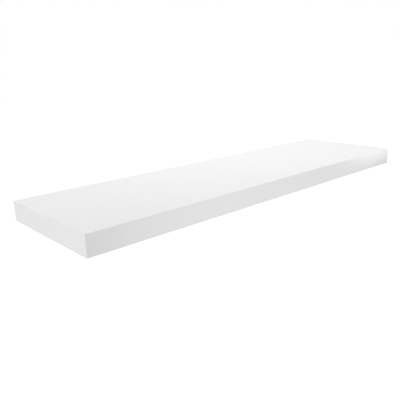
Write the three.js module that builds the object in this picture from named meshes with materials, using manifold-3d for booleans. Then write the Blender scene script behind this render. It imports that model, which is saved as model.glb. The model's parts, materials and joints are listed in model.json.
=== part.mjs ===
// Floating wall shelf, in millimetres: a white hollow-core board that slides onto the rods of a steel
// bracket, which the board's back edge hides. Two screws in the underside lock the board to the rods.
// +X runs along the wall, +Y points into the wall and +Z is up.
// The origin is the middle of the bracket's back face, which lies on the wall.

import * as THREE from "three";
import { mergeVertices } from "three/addons/utils/BufferGeometryUtils.js";
import Module from "manifold-3d";

const wasm = await Module();
wasm.setup();

// Board, outside
const shelfLength = 900;
const shelfDepth = 250;
const shelfThickness = 38;
const skinThickness = 3;
const edgeBandThickness = 0.75;

// Frame between the two skins
const frontRailDepth = 25;
const endRailWidth = 25;
const rearRailDepth = 20;
const bearerWidth = 60;
const buttGap = 0.3; // between two pieces of the frame that meet end to side
const bracketRecess = 10; // from the wall to the rear rails: room for the plate and the wall screws' heads

// Paper honeycomb
const honeycombCell = 32; // across the flats, from wall middle to wall middle
const honeycombPaper = 0.6; // two glued plies
const honeycombMargin = 2; // least space between the paper and the frame

// Bracket
const plateEdgeGap = 2; // between the plate and each skin
const plateThickness = 3;
const plateEndGap = 4; // between the plate's end and the end rail
const plateCornerRadius = 3;
const rodDiameter = 12;
const rodLength = 150;
const rodTipChamfer = 1.5;
const weldLeg = 3;
const rodClearance = 0.3;
const boreEndGap = 6; // the bore runs this much deeper than the rod
const boreMouthChamfer = 2;

// Holes for the wall screws, two in each bay between the rods; the outermost two are slots for levelling
const wallHoleDiameter = 7;
const wallSlotLength = 16;
const wallHoleBayShares = [0.25, 0.75];

// Lock screws, with a flat tip that bears on the rod
const lockScrewSetback = 32; // from the wall
const lockScrewDiameter = 4;
const lockScrewHeadDiameter = 8;
const lockScrewHeadInset = 0.3; // the head lies this far inside the underside
const lockScrewTipChamfer = 0.5;
const lockScrewTipGap = 0.3;
const lockScrewHoleClearance = 0.4;
const crossRecessSpan = 4.4;
const crossRecessWidth = 1;
const crossRecessDepth = 1.4;

const cutOverrun = 1; // a cutter passes the face that it opens by this much
const roundSegments = 32;
const arcSegments = 6;

// Planes that the board's pieces share
const top = shelfThickness / 2;
const coreTop = top - skinThickness;
const bandInside = shelfLength / 2 - edgeBandThickness;
const frontBandBack = -(shelfDepth - edgeBandThickness);
const frontRailBack = frontBandBack + frontRailDepth;
const endRailInside = bandInside - endRailWidth;
const rearRailBack = -bracketRecess;
const rearRailFront = rearRailBack - rearRailDepth;

// The bearers divide the space between the end rails into equal bays, one more than there are bearers
const bearerNames = ["left", "centre", "right"];
const bayNames = ["far_left", "mid_left", "mid_right", "far_right"];
const bayWidth = (2 * endRailInside - bearerNames.length * bearerWidth) / bayNames.length;
const rodPitch = bayWidth + bearerWidth;
const bayMiddle = (bay) => (bay - (bayNames.length - 1) / 2) * rodPitch;
const rodPlace = (rod) => (rod - (bearerNames.length - 1) / 2) * rodPitch;

const whiteFoil = new THREE.MeshStandardMaterial({ color: 0xf2f2f1, roughness: 0.45 });
const whiteEdging = new THREE.MeshStandardMaterial({ color: 0xf0f0ef, roughness: 0.4 });
const particleboard = new THREE.MeshStandardMaterial({ color: 0xbf9a68, roughness: 0.9 });
const kraftPaper = new THREE.MeshStandardMaterial({ color: 0xa98358, roughness: 0.95 });
const zincSteel = new THREE.MeshStandardMaterial({ color: 0xb7babd, roughness: 0.4, metalness: 1 });
const zincScrew = new THREE.MeshStandardMaterial({ color: 0xc9cbcd, roughness: 0.3, metalness: 1 });

// A box whose faces lie exactly on the planes given, so that glued neighbours share a plane
function boxBetween(low, high) {
  const geometry = new THREE.BoxGeometry(1, 1, 1);
  const corners = geometry.attributes.position;
  for (let i = 0; i < corners.count; i += 1) {
    corners.setXYZ(
      i,
      corners.getX(i) < 0 ? low[0] : high[0],
      corners.getY(i) < 0 ? low[1] : high[1],
      corners.getZ(i) < 0 ? low[2] : high[2],
    );
  }
  return geometry;
}

function solidFrom(geometry) {
  const bare = geometry.clone();
  bare.deleteAttribute("normal");
  bare.deleteAttribute("uv");
  const merged = mergeVertices(bare);
  return new wasm.Manifold(
    new wasm.Mesh({
      numProp: 3,
      vertProperties: merged.attributes.position.array,
      triVerts: new Uint32Array(merged.index.array),
    }),
  );
}

function geometryFrom(solid) {
  const mesh = solid.getMesh();
  const geometry = new THREE.BufferGeometry();
  geometry.setAttribute("position", new THREE.BufferAttribute(mesh.vertProperties, mesh.numProp));
  geometry.setIndex(new THREE.BufferAttribute(mesh.triVerts, 1));
  const faceted = geometry.toNonIndexed();
  faceted.computeVertexNormals();
  return faceted;
}

// A turned shape about +Y from its [radius, height] profile, which runs up from the axis and back to it
function turned(profile) {
  return new THREE.LatheGeometry(
    profile.map(([radius, height]) => new THREE.Vector2(radius, height)),
    roundSegments,
  );
}

function addPiece(group, name, geometry, material, x = 0) {
  const piece = new THREE.Mesh(geometry, material);
  piece.name = name;
  piece.position.x = x;
  group.add(piece);
  return piece;
}

// The hole for a lock screw, from under the board up to the middle of the rod
function lockScrewHole(x) {
  const headRadius = lockScrewHeadDiameter / 2 + lockScrewHoleClearance;
  const shankRadius = lockScrewDiameter / 2 + lockScrewHoleClearance;
  const coneFoot = lockScrewHeadInset;
  const hole = turned([
    [0, -cutOverrun],
    [headRadius, -cutOverrun],
    [headRadius, coneFoot],
    [shankRadius, coneFoot + headRadius - shankRadius],
    [shankRadius, top],
    [0, top],
  ]);
  return solidFrom(hole.rotateX(Math.PI / 2).translate(x, -lockScrewSetback, -top));
}

function topSkin() {
  return boxBetween([-bandInside, frontBandBack, coreTop], [bandInside, 0, top]);
}

function bottomSkin(screwPlaces) {
  let skin = solidFrom(boxBetween([-bandInside, frontBandBack, -top], [bandInside, 0, -coreTop]));
  for (const x of screwPlaces) skin = skin.subtract(lockScrewHole(x));
  return geometryFrom(skin);
}

function frontRail() {
  return boxBetween([-bandInside, frontBandBack, -coreTop], [bandInside, frontRailBack, coreTop]);
}

// side is -1 for the left end and 1 for the right end
function endRail(side) {
  const edges = [side * endRailInside, side * bandInside].sort((a, b) => a - b);
  return boxBetween([edges[0], frontRailBack + buttGap, -coreTop], [edges[1], 0, coreTop]);
}

function endBand(side) {
  const edges = [side * bandInside, (side * shelfLength) / 2].sort((a, b) => a - b);
  return boxBetween([edges[0], frontBandBack, -top], [edges[1], 0, top]);
}

function frontBand() {
  return boxBetween([-shelfLength / 2, -shelfDepth, -top], [shelfLength / 2, frontBandBack, top]);
}

function rearRail() {
  const half = bayWidth / 2 - buttGap;
  return boxBetween([-half, rearRailFront, -coreTop], [half, rearRailBack, coreTop]);
}

// A bearer is bored for its rod from the back; the outer two are also drilled from below for a lock screw
function bearer(drilled) {
  const half = bearerWidth / 2;
  const block = solidFrom(
    boxBetween([-half, frontRailBack + buttGap, -coreTop], [half, rearRailBack, coreTop]),
  );
  const boreRadius = rodDiameter / 2 + rodClearance;
  const boreDepth = rodLength + boreEndGap - (bracketRecess - plateThickness);
  const bore = turned([
    [0, -cutOverrun],
    [boreRadius + boreMouthChamfer, -cutOverrun],
    [boreRadius + boreMouthChamfer, 0],
    [boreRadius, boreMouthChamfer],
    [boreRadius, boreDepth],
    [0, boreDepth],
  ]);
  const bored = block.subtract(solidFrom(bore.rotateX(Math.PI).translate(0, rearRailBack, 0)));
  return geometryFrom(drilled ? bored.subtract(lockScrewHole(0)) : bored);
}

function hexagon(acrossFlats, x, y) {
  const radius = acrossFlats / Math.sqrt(3);
  const corners = [];
  for (let k = 0; k < 6; k += 1) {
    const angle = Math.PI / 6 + (k * Math.PI) / 3;
    corners.push(new THREE.Vector2(x + radius * Math.cos(angle), y + radius * Math.sin(angle)));
  }
  return new THREE.Shape(corners);
}

function prism(shapes) {
  const height = 2 * coreTop;
  const geometry = new THREE.ExtrudeGeometry(shapes, { depth: height, bevelEnabled: false });
  const corners = geometry.attributes.position;
  for (let i = 0; i < corners.count; i += 1) {
    corners.setZ(i, corners.getZ(i) > height / 2 ? coreTop : -coreTop);
  }
  return geometry;
}

// Whole hexagonal cells in staggered rows, as many as the bay takes
function honeycomb() {
  const rowPitch = (honeycombCell * Math.sqrt(3)) / 2;
  const cellHeight = (2 * honeycombCell) / Math.sqrt(3);
  const bayBack = rearRailFront - honeycombMargin;
  const bayFront = frontRailBack + honeycombMargin;
  const room = bayBack - bayFront - honeycombPaper;
  const columns = Math.floor((bayWidth - 2 * honeycombMargin - honeycombPaper) / honeycombCell);
  const rows = 1 + Math.floor((room - cellHeight) / rowPitch);
  const cells = [];
  for (let row = 0; row < rows; row += 1) {
    const inRow = row % 2 ? columns - 1 : columns;
    for (let column = 0; column < inRow; column += 1) {
      cells.push([
        (column - (inRow - 1) / 2) * honeycombCell,
        (bayBack + bayFront) / 2 + (row - (rows - 1) / 2) * rowPitch,
      ]);
    }
  }
  let paper = null;
  for (const [x, y] of cells) {
    const cell = solidFrom(prism([hexagon(honeycombCell + honeycombPaper, x, y)]));
    paper = paper ? paper.add(cell) : cell;
  }
  const holes = cells.map(([x, y]) => hexagon(honeycombCell - honeycombPaper, x, y));
  return geometryFrom(paper.subtract(solidFrom(prism(holes))));
}

// A slot of the given length whose ends are round; a length of one diameter gives a round hole
function slotPath(x, length) {
  const radius = wallHoleDiameter / 2;
  const reach = (length - wallHoleDiameter) / 2;
  const path = new THREE.Path();
  path.absarc(x + reach, 0, radius, -Math.PI / 2, Math.PI / 2, false);
  path.absarc(x - reach, 0, radius, Math.PI / 2, (3 * Math.PI) / 2, false);
  return path;
}

function bracketPlate() {
  const halfLength = endRailInside - plateEndGap;
  const halfHeight = coreTop - plateEdgeGap;
  const inX = halfLength - plateCornerRadius;
  const inZ = halfHeight - plateCornerRadius;
  const outline = new THREE.Shape();
  outline.absarc(inX, -inZ, plateCornerRadius, -Math.PI / 2, 0, false);
  outline.absarc(inX, inZ, plateCornerRadius, 0, Math.PI / 2, false);
  outline.absarc(-inX, inZ, plateCornerRadius, Math.PI / 2, Math.PI, false);
  outline.absarc(-inX, -inZ, plateCornerRadius, Math.PI, (3 * Math.PI) / 2, false);
  bayNames.forEach((_, bay) => {
    wallHoleBayShares.forEach((share, hole) => {
      const outermost =
        (bay === 0 && hole === 0) ||
        (bay === bayNames.length - 1 && hole === wallHoleBayShares.length - 1);
      const x = bayMiddle(bay) + (share - 1 / 2) * bayWidth;
      outline.holes.push(slotPath(x, outermost ? wallSlotLength : wallHoleDiameter));
    });
  });
  const plate = new THREE.ExtrudeGeometry(outline, {
    depth: plateThickness,
    bevelEnabled: false,
    curveSegments: arcSegments,
  });
  return plate.rotateX(Math.PI / 2);
}

// A rod with its fillet weld at the foot, standing on the plate's front face
function bracketRod() {
  const radius = rodDiameter / 2;
  const rod = turned([
    [0, 0],
    [radius + weldLeg, 0],
    [radius, weldLeg],
    [radius, rodLength - rodTipChamfer],
    [radius - rodTipChamfer, rodLength],
    [0, rodLength],
  ]);
  return rod.rotateX(Math.PI).translate(0, -plateThickness, 0);
}

function lockScrew() {
  const headRadius = lockScrewHeadDiameter / 2;
  const shankRadius = lockScrewDiameter / 2;
  const foot = lockScrewHeadInset;
  const tip = top - rodDiameter / 2 - lockScrewTipGap;
  const blank = turned([
    [0, foot],
    [headRadius, foot],
    [shankRadius, foot + headRadius - shankRadius],
    [shankRadius, tip - lockScrewTipChamfer],
    [shankRadius - lockScrewTipChamfer, tip],
    [0, tip],
  ]);
  let screw = solidFrom(blank.rotateX(Math.PI / 2));
  const recessTop = foot + crossRecessDepth;
  for (const [spanX, spanY] of [
    [crossRecessSpan, crossRecessWidth],
    [crossRecessWidth, crossRecessSpan],
  ]) {
    const slot = boxBetween(
      [-spanX / 2, -spanY / 2, -cutOverrun],
      [spanX / 2, spanY / 2, recessTop],
    );
    screw = screw.subtract(solidFrom(slot));
  }
  return geometryFrom(screw);
}

// The lock screws stand under the first and the last rod
const lockScrewPlaces = { left: rodPlace(0), right: rodPlace(bearerNames.length - 1) };

const bracket = new THREE.Group();
addPiece(bracket, "bracket_plate", bracketPlate(), zincSteel);
bearerNames.forEach((name, i) => {
  addPiece(bracket, `bracket_rod_${name}`, bracketRod(), zincSteel, rodPlace(i));
});

const board = new THREE.Group();
addPiece(board, "top_skin", topSkin(), whiteFoil);
addPiece(board, "bottom_skin", bottomSkin(Object.values(lockScrewPlaces)), whiteFoil);
addPiece(board, "front_edge_band", frontBand(), whiteEdging);
addPiece(board, "left_edge_band", endBand(-1), whiteEdging);
addPiece(board, "right_edge_band", endBand(1), whiteEdging);
addPiece(board, "front_rail", frontRail(), particleboard);
addPiece(board, "left_end_rail", endRail(-1), particleboard);
addPiece(board, "right_end_rail", endRail(1), particleboard);
bearerNames.forEach((name, i) => {
  addPiece(board, `bearer_${name}`, bearer(name in lockScrewPlaces), particleboard, rodPlace(i));
});
bayNames.forEach((name, i) => {
  addPiece(board, `rear_rail_${name}`, rearRail(), particleboard, bayMiddle(i));
  addPiece(board, `honeycomb_${name}`, honeycomb(), kraftPaper, bayMiddle(i));
});
for (const [name, x] of Object.entries(lockScrewPlaces)) {
  const screw = addPiece(board, `lock_screw_${name}`, lockScrew(), zincScrew, x);
  screw.position.y = -lockScrewSetback;
  screw.position.z = -top;
}

const shelf = new THREE.Group();
shelf.add(bracket, board);

export default shelf;
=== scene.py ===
# Floating wall shelf: the finished look of a white board on a hidden rod bracket.
# Everything is in metres. +X runs along the wall, +Y points into the wall and +Z is up.

import json
import math

import bmesh
import bpy
from mathutils import Matrix, Vector


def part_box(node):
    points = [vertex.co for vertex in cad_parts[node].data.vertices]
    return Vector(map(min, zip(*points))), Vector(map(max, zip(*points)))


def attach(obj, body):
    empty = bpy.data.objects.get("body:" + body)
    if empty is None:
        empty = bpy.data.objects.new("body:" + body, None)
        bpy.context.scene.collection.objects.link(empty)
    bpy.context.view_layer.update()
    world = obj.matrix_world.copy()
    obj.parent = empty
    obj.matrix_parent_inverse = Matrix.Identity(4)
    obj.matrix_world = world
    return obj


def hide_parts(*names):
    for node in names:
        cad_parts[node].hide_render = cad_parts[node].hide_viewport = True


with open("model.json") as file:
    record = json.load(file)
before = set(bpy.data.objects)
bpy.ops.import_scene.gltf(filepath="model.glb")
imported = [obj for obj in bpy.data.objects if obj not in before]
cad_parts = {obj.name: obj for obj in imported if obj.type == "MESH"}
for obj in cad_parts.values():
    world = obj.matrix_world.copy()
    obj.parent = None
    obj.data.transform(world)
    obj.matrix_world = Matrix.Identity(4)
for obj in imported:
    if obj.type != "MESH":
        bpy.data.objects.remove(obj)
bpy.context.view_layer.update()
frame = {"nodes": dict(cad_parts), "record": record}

MM = 0.001

# Edges and joints of the board
BAND_ROUNDING = 0.6 * MM  # the edge bands' outer edges, scraped round after gluing
BAND_ARRIS = 0.08 * MM  # the edge bands' other edges, which make the fine joint line
SKIN_ARRIS = 0.08 * MM
SAWN_ARRIS = 0.35 * MM
SCREW_HOLE_RADIUS = 2.4 * MM
SCREW_CONE_RADIUS = 4.4 * MM
SCREW_CONE_FOOT = 0.3 * MM  # the cone starts this far inside the underside
BORE_RADIUS = 6.3 * MM
BORE_MOUTH = 2.0 * MM
BORE_DEPTH = 149.0 * MM
CUT_OVERRUN = 1.0 * MM

# Bracket
PLATE_CORNER = 3.0 * MM
PLATE_ARRIS = 0.35 * MM
WALL_HOLE_RADIUS = 3.5 * MM
WALL_SLOT_LENGTH = 16.0 * MM
ROD_RADIUS = 6.0 * MM
ROD_TIP_CHAMFER = 1.5 * MM
ROD_TIP_ROUNDING = 0.3 * MM
ROD_TIP_SOFTENING = 0.075 * MM  # how far the middle of a rounding lies inside its corner
WELD_LEG = 3.0 * MM
WELD_RIPPLES = 26
POINTS_PER_RIPPLE = 12
WELD_RIPPLE_HEIGHT = 0.22 * MM
WELD_BULGE = 0.45 * MM
WELD_TOE_WANDER = 0.3 * MM

# Lock screws
SCREW_HEAD_RADIUS = 4.0 * MM
SCREW_HEAD_RIM = 0.12 * MM
SCREW_RADIUS = 2.0 * MM
SCREW_NECK_RADIUS = 1.9 * MM
SCREW_CORE_RADIUS = 1.4 * MM
SCREW_TIP_RADIUS = 1.12 * MM
SCREW_PITCH = 1.6 * MM
SCREW_NECK = 0.5 * MM
SCREW_TIP_CHAMFER = 0.5 * MM
THREAD_CREST = 0.08  # the crest's width, as a share of the pitch
THREAD_FOOT = 0.63  # the width of a thread's foot, as a share of the pitch
TIP_THREAD_SHARE = 0.3  # the thread's height at its end, as a share of its full height
ROWS_PER_TURN = 16
RECESS_SPAN = 4.4 * MM
RECESS_WIDTH = 1.0 * MM
RECESS_DEPTH = 1.6 * MM
RECESS_FLOOR_SHARE = 0.45

# How finely round shapes are drawn
HOLE_SIDES = 64
BORE_SIDES = 96
SCREW_SIDES = 64
PLATE_CORNER_STEPS = 12
WALL_HOLE_STEPS = 24  # for each half of a hole
PUNCHED_EDGE_STEPS = 3
POINT_GAP = 0.035 * MM  # points of the plate's outline that are nearer count as one
MERGE_GAP = 0.0035 * MM

# The values between which nearly all of a noise texture lies
NOISE_LOW, NOISE_HIGH = 0.3, 0.7

BEARERS = ("left", "centre", "right")
BAYS = ("far_left", "mid_left", "mid_right", "far_right")


def linear(hex_colour):
    """An sRGB hex colour as linear red, green, blue and alpha."""
    channels = [int(hex_colour[i:i + 2], 16) / 255 for i in (0, 2, 4)]
    return [c / 12.92 if c <= 0.04045 else ((c + 0.055) / 1.055) ** 2.4 for c in channels] + [1.0]


def add(tree, kind, settings=None, sockets=None):
    """Adds a node with its settings. Each socket, by name or number, takes a value or a link."""
    node = tree.nodes.new(kind)
    for name, value in (settings or {}).items():
        setattr(node, name, value)
    for key, value in (sockets or {}).items():
        if isinstance(value, bpy.types.NodeSocket):
            tree.links.new(value, node.inputs[key])
        else:
            node.inputs[key].default_value = value
    return node


def new_material(name):
    """An empty material, its node tree and the piece's own coordinates, in metres."""
    material = bpy.data.materials.new(name)
    material.use_nodes = True
    tree = material.node_tree
    tree.nodes.clear()
    place = add(tree, "ShaderNodeTexCoord").outputs["Object"]
    return material, tree, place


def pattern(tree, kind, place, spans, sockets=None):
    """A texture of this kind whose cells span these lengths along X, Y and Z."""
    scale = [1 / span for span in spans]
    spread = add(tree, "ShaderNodeMapping", None, {"Vector": place, "Scale": scale})
    return add(tree, kind, None, {"Vector": spread.outputs["Vector"], "Scale": 1.0, **(sockets or {})})


def surface(tree, sockets):
    """Ends a material with its one principled shader, whose sockets take links and even values."""
    shader = add(tree, "ShaderNodeBsdfPrincipled", None, sockets)
    add(tree, "ShaderNodeOutputMaterial", None, {"Surface": shader.outputs["BSDF"]})


def white_foil():
    """Decor foil pressed on fibreboard: an even, neutral white with a satin sheen and a faint pearl grain."""
    cloud_size = 70 * MM
    pearl_size = 1.6 * MM  # really 0.4 mm, drawn coarser so that it shows
    smoothest, roughest = 0.36, 0.42
    material, tree, place = new_material("pressed_white_foil")
    cloud = pattern(tree, "ShaderNodeTexNoise", place, (cloud_size,) * 3, {"Detail": 2.0})
    colour = add(tree, "ShaderNodeMix", {"data_type": "RGBA"}, {
        0: cloud.outputs[0], 6: linear("F2F2F2"), 7: linear("F5F5F5")})
    gloss = add(tree, "ShaderNodeMapRange", None, {
        "Value": cloud.outputs[0], "From Min": NOISE_LOW, "From Max": NOISE_HIGH,
        "To Min": smoothest, "To Max": roughest})
    pearl = pattern(tree, "ShaderNodeTexNoise", place, (pearl_size,) * 3, {"Detail": 1.0})
    bump = add(tree, "ShaderNodeBump", None, {
        "Strength": 0.06, "Distance": 0.05 * MM, "Height": pearl.outputs[0]})
    surface(tree, {
        "Base Color": colour.outputs[2], "Roughness": gloss.outputs[0], "Normal": bump.outputs[0],
        "IOR": 1.5})
    return material


def white_edging():
    """Extruded plastic edge band: the foil's white, a little glossier, with faint lines along its length."""
    line_length = 120 * MM
    line_width = 1.5 * MM  # really under 0.3 mm, drawn coarser so that it shows
    smoothest, roughest = 0.32, 0.38
    material, tree, place = new_material("extruded_white_edge_band")
    lines = pattern(
        tree, "ShaderNodeTexNoise", place, (line_length, line_length, line_width), {"Detail": 2.0})
    colour = add(tree, "ShaderNodeMix", {"data_type": "RGBA"}, {
        0: lines.outputs[0], 6: linear("F1F1F1"), 7: linear("F4F4F4")})
    gloss = add(tree, "ShaderNodeMapRange", None, {
        "Value": lines.outputs[0], "From Min": NOISE_LOW, "From Max": NOISE_HIGH,
        "To Min": smoothest, "To Max": roughest})
    bump = add(tree, "ShaderNodeBump", None, {
        "Strength": 0.05, "Distance": 0.04 * MM, "Height": lines.outputs[0]})
    surface(tree, {
        "Base Color": colour.outputs[2], "Roughness": gloss.outputs[0], "Normal": bump.outputs[0],
        "IOR": 1.53})
    return material


def raw_fibreboard():
    """Sawn fibreboard: matt brown felt of fine fibres, a little darker in thin layers along the sheet."""
    fibre_length, fibre_width = 4 * MM, 0.5 * MM
    material, tree, place = new_material("sawn_fibreboard")
    fibres = pattern(
        tree, "ShaderNodeTexNoise", place, (fibre_length, fibre_length, fibre_width),
        {"Detail": 4.0, "Roughness": 0.65})
    colour = add(tree, "ShaderNodeMix", {"data_type": "RGBA"}, {
        0: fibres.outputs[0], 6: linear("7A5A38"), 7: linear("A98458")})
    bump = add(tree, "ShaderNodeBump", None, {
        "Strength": 0.5, "Distance": 0.15 * MM, "Height": fibres.outputs[0]})
    surface(tree, {"Base Color": colour.outputs[2], "Roughness": 0.92, "Normal": bump.outputs[0], "IOR": 1.5})
    return material


def particleboard():
    """Sawn three-layer particleboard: flat tan chips of mixed colours with a fine wood grain in them, coarse
    in the core and fine near the skins."""
    chip_length, chip_width = 4.5 * MM, 0.9 * MM
    fine_length, fine_width = 1.6 * MM, 0.45 * MM
    grain_length, grain_width = 2 * MM, 0.2 * MM
    core_half, fine_from = 9 * MM, 12 * MM
    grain_share = 0.4
    dark_share = 0.1  # of all chips
    material, tree, place = new_material("sawn_particleboard")
    warp = pattern(tree, "ShaderNodeTexNoise", place, (chip_length,) * 3, {"Detail": 2.0})
    drift = add(tree, "ShaderNodeVectorMath", {"operation": "MULTIPLY_ADD"}, {
        0: warp.outputs[1], 1: (chip_width,) * 3, 2: place}).outputs[0]
    coarse = pattern(tree, "ShaderNodeTexVoronoi", drift, (chip_length, chip_length, chip_width))
    fine = pattern(tree, "ShaderNodeTexVoronoi", drift, (fine_length, fine_length, fine_width))
    height = add(tree, "ShaderNodeSeparateXYZ", None, {0: place}).outputs[2]
    from_middle = add(tree, "ShaderNodeMath", {"operation": "ABSOLUTE"}, {0: height}).outputs[0]
    layer = add(tree, "ShaderNodeMapRange", None, {
        "Value": from_middle, "From Min": core_half, "From Max": fine_from}).outputs[0]
    chip = add(tree, "ShaderNodeMix", {"data_type": "RGBA"}, {
        0: layer, 6: coarse.outputs["Color"], 7: fine.outputs["Color"]}).outputs[2]
    tone = add(tree, "ShaderNodeSeparateColor", None, {0: chip})
    grain = pattern(
        tree, "ShaderNodeTexNoise", drift, (grain_length, grain_length, grain_width), {"Detail": 2.0})
    mixed = add(tree, "ShaderNodeMix", None, {0: grain_share, 2: tone.outputs[0], 3: grain.outputs[0]})
    light_chips = add(tree, "ShaderNodeMix", {"data_type": "RGBA"}, {
        0: mixed.outputs[0], 6: linear("A67E50"), 7: linear("DDC295")})
    dark = add(tree, "ShaderNodeMath", {"operation": "LESS_THAN"}, {0: tone.outputs[1], 1: dark_share})
    colour = add(tree, "ShaderNodeMix", {"data_type": "RGBA"}, {
        0: dark.outputs[0], 6: light_chips.outputs[2], 7: linear("86633B")})
    gaps = add(tree, "ShaderNodeMix", None, {
        0: layer, 2: coarse.outputs["Distance"], 3: fine.outputs["Distance"]})
    bump = add(tree, "ShaderNodeBump", {"invert": True}, {
        "Strength": 0.7, "Distance": 0.4 * MM, "Height": gaps.outputs[0]})
    surface(tree, {"Base Color": colour.outputs[2], "Roughness": 0.9, "Normal": bump.outputs[0], "IOR": 1.5})
    return material


def kraft_paper():
    """Unbleached kraft paper: matt brown, with lighter and darker fibres lying every way in the sheet."""
    fibre_length, fibre_width = 3 * MM, 0.4 * MM
    few_fibres, many_fibres = 0.1, 0.42
    material, tree, place = new_material("kraft_paper")
    across = pattern(
        tree, "ShaderNodeTexNoise", place, (fibre_length, fibre_length, fibre_width), {"Detail": 3.0})
    upright = pattern(
        tree, "ShaderNodeTexNoise", place, (fibre_width, fibre_width, fibre_length), {"Detail": 3.0})
    both = add(tree, "ShaderNodeMath", {"operation": "MULTIPLY"}, {
        0: across.outputs[0], 1: upright.outputs[0]})
    share = add(tree, "ShaderNodeMapRange", None, {
        "Value": both.outputs[0], "From Min": few_fibres, "From Max": many_fibres}).outputs[0]
    colour = add(tree, "ShaderNodeMix", {"data_type": "RGBA"}, {
        0: share, 6: linear("8A6238"), 7: linear("BE9767")})
    bump = add(tree, "ShaderNodeBump", None, {"Strength": 0.3, "Distance": 0.1 * MM, "Height": share})
    surface(tree, {"Base Color": colour.outputs[2], "Roughness": 0.95, "Normal": bump.outputs[0], "IOR": 1.5})
    return material


def zinc_plate(name, grain, clouds, low, high, roughest):
    """Zinc-plated steel: cool grey metal with light and dark lines from the drawn stock, faintly clouded by
    the passivated plating. grain and clouds give the lines' and the clouds' spans along X, Y and Z."""
    line_share = 0.5
    gloss_range = 0.14
    darkest, lightest = 0.35, 0.65  # of the mixed noise, whose middle values are the most common
    material, tree, place = new_material(name)
    cloud = pattern(tree, "ShaderNodeTexNoise", place, clouds, {"Detail": 1.0})
    lines = pattern(tree, "ShaderNodeTexNoise", place, grain, {"Detail": 3.0})
    mixed = add(tree, "ShaderNodeMix", None, {0: line_share, 2: cloud.outputs[0], 3: lines.outputs[0]})
    tone = add(tree, "ShaderNodeMapRange", None, {
        "Value": mixed.outputs[0], "From Min": darkest, "From Max": lightest})
    colour = add(tree, "ShaderNodeMix", {"data_type": "RGBA"}, {
        0: tone.outputs[0], 6: linear(low), 7: linear(high)})
    gloss = add(tree, "ShaderNodeMapRange", None, {
        "Value": lines.outputs[0], "From Min": NOISE_LOW, "From Max": NOISE_HIGH,
        "To Min": roughest - gloss_range, "To Max": roughest})
    bump = add(tree, "ShaderNodeBump", None, {
        "Strength": 0.12, "Distance": 0.05 * MM, "Height": lines.outputs[0]})
    surface(tree, {
        "Base Color": colour.outputs[2], "Roughness": gloss.outputs[0], "Normal": bump.outputs[0],
        "Metallic": 1.0})
    return material


LONG_GRAIN, FINE_GRAIN = 60 * MM, 0.6 * MM  # really about 0.1 mm wide, drawn coarser so that it shows
LONG_CLOUD, NARROW_CLOUD = 90 * MM, 14 * MM
foil = white_foil()
edging = white_edging()
fibreboard = raw_fibreboard()
chipboard = particleboard()
kraft = kraft_paper()
rolled_zinc = zinc_plate(
    "zinc_plated_flat_bar",
    grain=(LONG_GRAIN, FINE_GRAIN, FINE_GRAIN),
    clouds=(LONG_CLOUD, NARROW_CLOUD, NARROW_CLOUD),
    low="999EA1", high="C2C5C6", roughest=0.46,
)
drawn_zinc = zinc_plate(
    "zinc_plated_round_bar",
    grain=(FINE_GRAIN, LONG_GRAIN, FINE_GRAIN),
    clouds=(NARROW_CLOUD, LONG_CLOUD, NARROW_CLOUD),
    low="9EA3A6", high="C5C8C9", roughest=0.38,
)
screw_zinc = zinc_plate(
    "zinc_plated_screw",
    grain=(FINE_GRAIN,) * 3,
    clouds=(NARROW_CLOUD,) * 3,
    low="AFB4B7", high="C6C9CA", roughest=0.32,
)


def new_piece(name, mesh, materials):
    """An object with this mesh and these materials, linked to the scene."""
    piece = bpy.data.objects.new(name, mesh)
    bpy.context.scene.collection.objects.link(piece)
    if not mesh.materials:
        for material in materials:
            mesh.materials.append(material)
    return piece


def mesh_from(bm, name):
    """A mesh from bmesh data, with its faces turned out."""
    bmesh.ops.recalc_face_normals(bm, faces=bm.faces)
    mesh = bpy.data.meshes.new(name)
    bm.to_mesh(mesh)
    bm.free()
    return mesh


def settle(piece):
    """Gives the piece the mesh that its modifiers make."""
    graph = bpy.context.evaluated_depsgraph_get()
    mesh = bpy.data.meshes.new_from_object(piece.evaluated_get(graph))
    piece.modifiers.clear()
    piece.data = mesh


def cut(piece, cutter):
    """Cuts a solid out of the piece and removes the cutter, whose material the cut faces take."""
    modifier = piece.modifiers.new("cut", "BOOLEAN")
    modifier.operation = "DIFFERENCE"
    modifier.solver = "EXACT"
    modifier.material_mode = "TRANSFER"
    modifier.object = cutter
    settle(piece)
    bpy.data.objects.remove(cutter)


def shade(piece):
    """Smooth round stretches and crisp corners, with flat faces that stay flat beside a rounding."""
    sharpest = math.radians(40)
    piece.data.shade_smooth()
    piece.data.set_sharp_from_angle(angle=sharpest)
    even = piece.modifiers.new("even_faces", "WEIGHTED_NORMAL")
    even.keep_sharp = True
    settle(piece)


def finish_piece(piece, body, node):
    """Shades the piece, puts it on its body and lets it stand for its node."""
    shade(piece)
    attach(piece, body)
    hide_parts(node)


# Turns what is made along Z so that it points at the room, along -Y
LAID_ALONG_Y = Matrix.Rotation(math.pi / 2, 4, "X")

SIDES = {
    "left": Vector((-1, 0, 0)), "right": Vector((1, 0, 0)),
    "front": Vector((0, -1, 0)), "back": Vector((0, 1, 0)),
    "under": Vector((0, 0, -1)), "top": Vector((0, 0, 1)),
}


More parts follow.
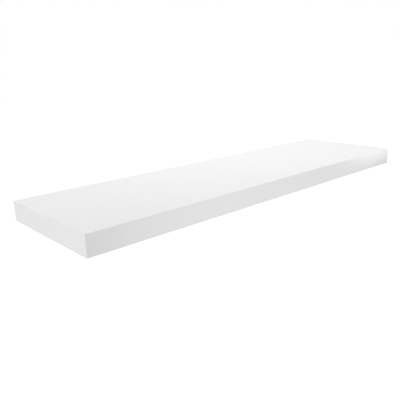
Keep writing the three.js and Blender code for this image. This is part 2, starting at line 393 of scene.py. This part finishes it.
def block(name, low, high, roundings, plain, materials, shown=()):
    """A block between two corners. roundings gives the radius of an edge by the two sides that meet there,
    and plain is that of its other edges. The sides in shown take the first material, with the roundings
    round them, and the rest takes the last one."""
    steps = 4
    least_facing = 0.1
    bm = bmesh.new()
    bmesh.ops.create_cube(bm, size=1.0)
    for vert in bm.verts:
        vert.co = [high[i] if vert.co[i] > 0 else low[i] for i in range(3)]
    bm.normal_update()
    weights = bm.edges.layers.float.new("bevel_weight_edge")
    side_of = {face: max(SIDES, key=lambda side: SIDES[side].dot(face.normal)) for face in bm.faces}
    widest = max([plain, *roundings.values()])
    for edge in bm.edges:
        sides = frozenset(side_of[face] for face in edge.link_faces)
        edge[weights] = roundings.get(sides, plain) / widest
    piece = new_piece(name, mesh_from(bm, name), materials)
    bevel = piece.modifiers.new("roundings", "BEVEL")
    bevel.limit_method = "WEIGHT"
    bevel.width = widest
    bevel.segments = steps
    bevel.use_clamp_overlap = False
    settle(piece)
    for face in piece.data.polygons:
        facing = any(SIDES[side].dot(face.normal) > least_facing for side in shown)
        face.material_index = 0 if facing else len(materials) - 1
    return piece


def join_rings(bm, lower, upper):
    """Faces between two rings that have the same number of points."""
    for k in range(len(lower)):
        after = (k + 1) % len(lower)
        bm.faces.new((lower[k], lower[after], upper[after], upper[k]))


def revolved(name, rows, segments, materials, shape=None):
    """A closed solid turned about Z from rows of (radius, height). The first and last rows lie on the axis.
    shape(radius, height, angle) can move a point of a row, for a thread or a weld."""
    bm = bmesh.new()
    rings = []
    for radius, height in rows[1:-1]:
        ring = []
        for k in range(segments):
            angle = 2 * math.pi * k / segments
            out, up = shape(radius, height, angle) if shape else (radius, height)
            ring.append(bm.verts.new((out * math.cos(angle), out * math.sin(angle), up)))
        rings.append(ring)
    for lower, upper in zip(rings, rings[1:]):
        join_rings(bm, lower, upper)
    for ring, (_, height) in ((rings[0], rows[0]), (rings[-1], rows[-1])):
        middle = bm.verts.new((0, 0, height))
        for k in range(segments):
            bm.faces.new((ring[k], ring[(k + 1) % segments], middle))
    return new_piece(name, mesh_from(bm, name), materials)


def screw_hole_cutter(x, y, underside, board):
    """The countersunk hole for a lock screw, up to the middle of the rod. It shows the board's material."""
    cone_top = SCREW_CONE_FOOT + SCREW_CONE_RADIUS - SCREW_HOLE_RADIUS
    cutter = revolved("screw_hole", [
        (0, -CUT_OVERRUN),
        (SCREW_CONE_RADIUS, -CUT_OVERRUN),
        (SCREW_CONE_RADIUS, SCREW_CONE_FOOT),
        (SCREW_HOLE_RADIUS, cone_top),
        (SCREW_HOLE_RADIUS, -underside),
        (0, -underside),
    ], HOLE_SIDES, [board])
    cutter.data.transform(Matrix.Translation((x, y, underside)))
    return cutter


def middle_of(node):
    """The middle of a CAD piece's box."""
    low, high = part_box(node)
    return (low + high) / 2


lock_screws = {side: middle_of(f"lock_screw_{side}") for side in ("left", "right")}


def make_skins():
    """The two foiled fibreboard skins. Their edges show raw fibreboard at the wall."""
    for side in ("top", "bottom"):
        low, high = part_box(f"{side}_skin")
        face = "top" if side == "top" else "under"
        skin = block(f"foiled_{side}_skin", low, high, {}, SKIN_ARRIS, [foil, fibreboard], shown=(face,))
        if side == "bottom":
            for place in lock_screws.values():
                cut(skin, screw_hole_cutter(place.x, place.y, low.z, fibreboard))
        finish_piece(skin, "board", f"{side}_skin")


def make_edge_bands():
    """The front band covers the ends of the two end bands. Only their outer edges are rounded."""
    for side in ("front", "left", "right"):
        low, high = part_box(f"{side}_edge_band")
        neighbours = ("left", "right", "top", "under") if side == "front" else ("top", "under")
        outer = {frozenset((side, near)): BAND_ROUNDING for near in neighbours}
        band = block(f"{side}_edging", low, high, outer, BAND_ARRIS, [edging])
        finish_piece(band, "board", f"{side}_edge_band")


def make_frame():
    """Rails and bearers of raw particleboard. The bearers have smooth drilled bores for the rods."""
    rails = ["front_rail", "left_end_rail", "right_end_rail", *(f"rear_rail_{bay}" for bay in BAYS)]
    for node in rails:
        low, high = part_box(node)
        rail = block(f"sawn_{node}", low, high, {}, SAWN_ARRIS, [chipboard])
        finish_piece(rail, "board", node)
    for name in BEARERS:
        node = f"bearer_{name}"
        low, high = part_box(node)
        middle = (low + high) / 2
        bearer = block(f"drilled_{node}", low, high, {}, SAWN_ARRIS, [chipboard])
        bore = revolved("bore", [
            (0, -CUT_OVERRUN),
            (BORE_RADIUS + BORE_MOUTH, -CUT_OVERRUN),
            (BORE_RADIUS + BORE_MOUTH, 0),
            (BORE_RADIUS, BORE_MOUTH),
            (BORE_RADIUS, BORE_DEPTH),
            (0, BORE_DEPTH),
        ], BORE_SIDES, [chipboard])
        bore.data.transform(Matrix.Translation((middle.x, high.y, 0)) @ LAID_ALONG_Y)
        cut(bearer, bore)
        if name in lock_screws:
            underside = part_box("bottom_skin")[0].z
            cut(bearer, screw_hole_cutter(middle.x, lock_screws[name].y, underside, chipboard))
        finish_piece(bearer, "board", node)


def arc(centre_x, centre_z, radius, start, end, steps):
    """Points of an arc in the plate's plane, with its angles in degrees."""
    angles = [math.radians(start + (end - start) * k / steps) for k in range(steps + 1)]
    return [(centre_x + radius * math.cos(a), centre_z + radius * math.sin(a)) for a in angles]


def make_plate():
    """The flat bar on the wall, with punched holes and slots and a slightly rolled edge."""
    quarter, half = 90, 180  # degrees of a turn
    low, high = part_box("bracket_plate")
    in_x, in_z = high.x - PLATE_CORNER, high.z - PLATE_CORNER
    outline = []
    for corner, (sign_x, sign_z) in enumerate(((1, 1), (-1, 1), (-1, -1), (1, -1))):
        start = corner * quarter
        outline += arc(
            sign_x * in_x, sign_z * in_z, PLATE_CORNER, start, start + quarter, PLATE_CORNER_STEPS)
    loops = [outline]
    for opening in frame["record"]["physics"]["openings"]:
        x = (opening["box_m"][0][0] + opening["box_m"][1][0]) / 2
        reach = WALL_SLOT_LENGTH / 2 - WALL_HOLE_RADIUS if "slot" in opening["name"] else 0
        hole = []
        for side, start in ((1, -quarter), (-1, quarter)):
            hole += arc(x + side * reach, 0, WALL_HOLE_RADIUS, start, start + half, WALL_HOLE_STEPS)
        loops.append([p for p, q in zip(hole, hole[1:] + hole[:1]) if math.dist(p, q) > POINT_GAP])
    curve = bpy.data.curves.new("punched_plate_outline", "CURVE")
    curve.dimensions = "2D"
    curve.fill_mode = "BOTH"
    curve.extrude = (high.y - low.y) / 2 - PLATE_ARRIS
    curve.bevel_depth = PLATE_ARRIS
    curve.bevel_resolution = PUNCHED_EDGE_STEPS
    curve.offset = -PLATE_ARRIS
    for loop in loops:
        spline = curve.splines.new("POLY")
        spline.points.add(len(loop) - 1)
        spline.use_cyclic_u = True
        for point, (x, z) in zip(spline.points, loop):
            point.co = (x, z, 0, 1)
    outline_object = bpy.data.objects.new("punched_plate_outline", curve)
    bpy.context.scene.collection.objects.link(outline_object)
    graph = bpy.context.evaluated_depsgraph_get()
    mesh = bpy.data.meshes.new_from_object(outline_object.evaluated_get(graph))
    bpy.data.objects.remove(outline_object)
    bm = bmesh.new()
    bm.from_mesh(mesh)
    bmesh.ops.remove_doubles(bm, verts=bm.verts, dist=MERGE_GAP)
    bmesh.ops.transform(
        bm, verts=bm.verts, matrix=Matrix.Translation((0, (low.y + high.y) / 2, 0)) @ LAID_ALONG_Y)
    plate = new_piece("punched_plate", mesh_from(bm, "punched_plate"), [rolled_zinc])
    finish_piece(plate, "bracket", "bracket_plate")


def weld_point(radius, height, angle):
    """Moves the points of the weld's fillet: a wandering toe and a row of curved ripples round the rod."""
    slow_waves, quick_waves = 3, 7
    even_share, slow_share, quick_share = 0.5, 0.3, 0.2
    slow_lead = 1  # radians that the slow waves are ahead of the quick ones
    ripple_lag = 0.6  # how far a ripple trails behind in the middle of the bead, in ripples
    ripple_fullness = 0.6  # under 1 gives round backs with narrow valleys
    along = height / WELD_LEG
    if along > 1:
        return radius, height
    slow = slow_share * math.sin(slow_waves * angle + slow_lead)
    wander = even_share + slow + quick_share * math.sin(quick_waves * angle)
    phase = (WELD_RIPPLES * angle / (2 * math.pi) + ripple_lag * math.sin(math.pi * along)) % 1
    ripple = math.sin(math.pi * phase) ** ripple_fullness
    out = math.sin(math.pi * along) * (WELD_BULGE - WELD_RIPPLE_HEIGHT * (1 - ripple))
    toe = (1 - along) * WELD_TOE_WANDER * wander
    return radius - toe + out, height + out * (1 - along) * along


def make_rods():
    """Round bars with a turned tip, welded to the plate all round their foot."""
    for name in BEARERS:
        node = f"bracket_rod_{name}"
        low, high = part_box(node)
        length = high.y - low.y
        fillet_steps = 10
        fillet = [
            (ROD_RADIUS + WELD_LEG * (1 - k / fillet_steps), WELD_LEG * k / fillet_steps)
            for k in range(fillet_steps + 1)
        ]
        tip_radius = ROD_RADIUS - ROD_TIP_CHAMFER
        rows = [
            (0, 0), *fillet,
            (ROD_RADIUS, WELD_LEG + ROD_TIP_ROUNDING),
            (ROD_RADIUS, length - ROD_TIP_CHAMFER - ROD_TIP_ROUNDING),
            (ROD_RADIUS - ROD_TIP_SOFTENING, length - ROD_TIP_CHAMFER),
            (tip_radius + ROD_TIP_ROUNDING, length - ROD_TIP_ROUNDING),
            (tip_radius, length - ROD_TIP_SOFTENING),
            (tip_radius - ROD_TIP_ROUNDING, length),
            (0, length),
        ]
        sides = WELD_RIPPLES * POINTS_PER_RIPPLE
        rod = revolved(f"welded_rod_{name}", rows, sides, [drawn_zinc], weld_point)
        rod.data.transform(Matrix.Translation(((low.x + high.x) / 2, high.y, 0)) @ LAID_ALONG_Y)
        finish_piece(rod, "bracket", node)


def make_lock_screws():
    """Countersunk screws with a coarse thread, a blunt tip and a cross recess."""
    for side, place in lock_screws.items():
        node = f"lock_screw_{side}"
        low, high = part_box(node)
        length = high.z - low.z
        cone_top = SCREW_HEAD_RADIUS - SCREW_RADIUS
        thread_start = cone_top + SCREW_NECK
        thread_end = length - SCREW_TIP_CHAMFER
        step = SCREW_PITCH / ROWS_PER_TURN
        count = int((thread_end - thread_start) / step)

        def thread(radius, height, angle):
            """Moves a point of the shank in or out, so that the crest climbs one pitch in a turn."""
            if not thread_start <= height <= thread_end or radius < SCREW_RADIUS:
                return radius, height
            phase = (height / SCREW_PITCH - angle / (2 * math.pi)) % 1
            from_crest = 2 * abs(phase - 0.5)
            flank = (THREAD_FOOT - from_crest) / (THREAD_FOOT - THREAD_CREST)
            run_in = (height - thread_start) / SCREW_PITCH
            run_out = (thread_end - height) / SCREW_PITCH + TIP_THREAD_SHARE
            tall = max(0, min(1, flank)) * min(1, run_in, run_out)
            return SCREW_CORE_RADIUS + (SCREW_RADIUS - SCREW_CORE_RADIUS) * tall, height

        rows = [
            (0, 0),
            (SCREW_HEAD_RADIUS - SCREW_HEAD_RIM, 0),
            (SCREW_HEAD_RADIUS, SCREW_HEAD_RIM),
            (SCREW_NECK_RADIUS, cone_top),
            (SCREW_CORE_RADIUS, thread_start - step),
            *((SCREW_RADIUS, thread_start + step * k) for k in range(count + 1)),
            (SCREW_CORE_RADIUS, thread_end + step),
            (SCREW_TIP_RADIUS, length),
            (0, length),
        ]
        screw = revolved(f"threaded_{node}", rows, SCREW_SIDES, [screw_zinc], thread)
        screw.data.transform(Matrix.Translation((place.x, place.y, low.z)))
        cut(screw, cross_recess_cutter(place.x, place.y, low.z))
        finish_piece(screw, node, node)


def cross_recess_cutter(x, y, z):
    """A cross of four arms that narrows towards its floor."""
    half, thin = RECESS_SPAN / 2, RECESS_WIDTH / 2
    arm = [(half, -thin), (half, thin), (thin, thin)]
    cross = []
    for quarter in range(4):
        cosine, sine = math.cos(quarter * math.pi / 2), math.sin(quarter * math.pi / 2)
        cross += [(px * cosine - py * sine, px * sine + py * cosine) for px, py in arm]
    bm = bmesh.new()
    levels = []
    for height, share in ((-CUT_OVERRUN, 1.0), (0, 1.0), (RECESS_DEPTH, RECESS_FLOOR_SHARE)):
        levels.append([bm.verts.new((x + px * share, y + py * share, z + height)) for px, py in cross])
    for lower, upper in zip(levels, levels[1:]):
        join_rings(bm, lower, upper)
    bm.faces.new(levels[0])
    bm.faces.new(levels[-1])
    return new_piece("cross_recess", mesh_from(bm, "cross_recess"), [screw_zinc])


def dress_honeycomb():
    """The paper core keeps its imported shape, because both skins hide it, and gets its paper."""
    for bay in BAYS:
        node = frame["nodes"][f"honeycomb_{bay}"]
        node.data.materials.clear()
        node.data.materials.append(kraft)


def make_camera():
    """The photograph's view: from the front left, a little above the shelf."""
    place = (-0.7616, -0.8358, 0.2521)
    heading, pitch, roll = (math.radians(a) for a in (42.44, 16.17, 1.32))
    camera = bpy.data.cameras.new("camera")
    camera.sensor_width = 36.0
    camera.lens = 43.2
    eye = bpy.data.objects.new("camera", camera)
    bpy.context.scene.collection.objects.link(eye)
    eye.matrix_world = (
        Matrix.Translation(place)
        @ Matrix.Rotation(-heading, 4, "Z")
        @ Matrix.Rotation(math.pi / 2 - pitch, 4, "X")
        @ Matrix.Rotation(-roll, 4, "Z")
    )
    bpy.context.scene.camera = eye


def seen_directly(tree):
    """1 for camera, glossy and transmission rays, which see the white studio, and 0 for the rest."""
    path = add(tree, "ShaderNodeLightPath").outputs
    first = add(tree, "ShaderNodeMath", {"operation": "MAXIMUM"}, {
        0: path["Is Camera Ray"], 1: path["Is Glossy Ray"]})
    both = add(tree, "ShaderNodeMath", {"operation": "MAXIMUM"}, {
        0: first.outputs[0], 1: path["Is Transmission Ray"]})
    return both.outputs[0]


def make_studio():
    """A white room: soft light from all round, and a pale floor far below the shelf. The floor glows a little
    for the camera, more away from the shelf, so that it is white there and keeps the shelf's soft shadow."""
    floor_height = -1.3
    floor_reach = 20.0
    fill = 0.435
    near, near_glow = 0.3, 0.32  # how far from the shelf's middle, and the floor's glow there
    far, far_glow = 2.4, 0.68

    world = bpy.data.worlds.new("studio")
    bpy.context.scene.world = world
    world.use_nodes = True
    tree = world.node_tree
    tree.nodes.clear()
    soft = add(tree, "ShaderNodeBackground", None, {"Color": linear("FFFFFF"), "Strength": fill})
    white = add(tree, "ShaderNodeBackground", None, {"Color": linear("FFFFFF"), "Strength": 1.0})
    mix = add(tree, "ShaderNodeMixShader", None, {
        0: seen_directly(tree), 1: soft.outputs[0], 2: white.outputs[0]})
    add(tree, "ShaderNodeOutputWorld", None, {"Surface": mix.outputs[0]})

    material = bpy.data.materials.new("pale_floor")
    material.use_nodes = True
    tree = material.node_tree
    tree.nodes.clear()
    matt = add(tree, "ShaderNodeBsdfDiffuse", None, {"Color": linear("E6E6E6")})
    spot = add(tree, "ShaderNodeTexCoord").outputs["Object"]
    on_floor = add(tree, "ShaderNodeVectorMath", {"operation": "MULTIPLY"}, {0: spot, 1: (1, 1, 0)})
    away = add(tree, "ShaderNodeVectorMath", {"operation": "LENGTH"}, {0: on_floor.outputs["Vector"]})
    rising = add(tree, "ShaderNodeMapRange", None, {
        "Value": away.outputs["Value"], "From Min": near, "From Max": far,
        "To Min": near_glow, "To Max": far_glow})
    shown = add(tree, "ShaderNodeMath", {"operation": "MULTIPLY"}, {
        0: seen_directly(tree), 1: rising.outputs[0]})
    glow = add(tree, "ShaderNodeEmission", None, {"Color": linear("FFFFFF"), "Strength": shown.outputs[0]})
    lift = add(tree, "ShaderNodeAddShader", None, {0: matt.outputs[0], 1: glow.outputs[0]})
    add(tree, "ShaderNodeOutputMaterial", None, {"Surface": lift.outputs[0]})
    bm = bmesh.new()
    corners = [bm.verts.new((x * floor_reach, y * floor_reach, floor_height))
               for x, y in ((-1, -1), (1, -1), (1, 1), (-1, 1))]
    bm.faces.new(corners)
    floor = new_piece("floor", mesh_from(bm, "floor"), [material])


def hang_lamp(light, place, aim, widening=1.0):
    """Points a lamp at its aim. The camera and the gloss don't see it, because the gloss shows the white
    room. A widening stretches a spot's beam sideways."""
    lamp = bpy.data.objects.new(light.name, light)
    turn = (Vector(aim) - Vector(place)).to_track_quat("-Z", "Y").to_matrix().to_4x4()
    lamp.matrix_world = Matrix.Translation(place) @ turn @ Matrix.Diagonal((widening, 1, 1, 1))
    lamp.visible_camera = False
    lamp.visible_glossy = False
    bpy.context.scene.collection.objects.link(lamp)


def soft_box(name, place, aim, width, power):
    """A square soft box."""
    light = bpy.data.lights.new(name, "AREA")
    light.shape = "SQUARE"
    light.size = width
    light.energy = power
    hang_lamp(light, place, aim)


def soft_spot(name, place, aim, reach, power, widening=1.0):
    """A spot lamp with a beam that fades all the way to its edge, which is this reach from the aim."""
    bulb_radius = 0.03
    light = bpy.data.lights.new(name, "SPOT")
    light.shadow_soft_size = bulb_radius
    light.spot_size = 2 * math.atan(reach / math.dist(place, aim))
    light.spot_blend = 1.0
    light.energy = power
    hang_lamp(light, place, aim, widening)


def make_lamps():
    """Soft boxes all round and overhead, and soft spots on the front: for its middle, for its right end, and
    a wide one that lifts the upper part of that end, where the photograph shows a soft highlight. The spots
    stand well away, so that the board keeps its brightness when it slides towards them."""
    middle = (0, -0.125, 0)
    soft_box("left", (-2.6, -0.1, 0.4), middle, width=1.2, power=16)
    soft_box("front_left", (-1.6, -2.2, 0.5), middle, width=1.2, power=12.8)
    soft_box("right", (2.6, 0.5, 0.1), middle, width=1.2, power=9)
    soft_box("behind", (0.5, 2.4, 0.15), middle, width=1.2, power=11)
    soft_box("overhead", (0.25, 0.2, 1.3), (0.25, -0.1, 0), width=0.9, power=9.85)
    soft_spot("front_middle", (-0.03, -2.75, 0.1), (-0.03, -0.25, 0), reach=0.54, power=57)
    soft_spot("front_end", (0.28, -2.75, 0.1), (0.28, -0.25, 0), reach=0.15, power=12)
    soft_spot(
        "end_highlight", (0.46, -2.75, 0), (0.46, -0.25, 0.083), reach=0.12, power=131, widening=2.5)


bpy.context.scene.view_settings.view_transform = "Standard"
make_skins()
make_edge_bands()
make_frame()
make_plate()
make_rods()
make_lock_screws()
dress_honeycomb()
make_camera()
make_studio()
make_lamps()
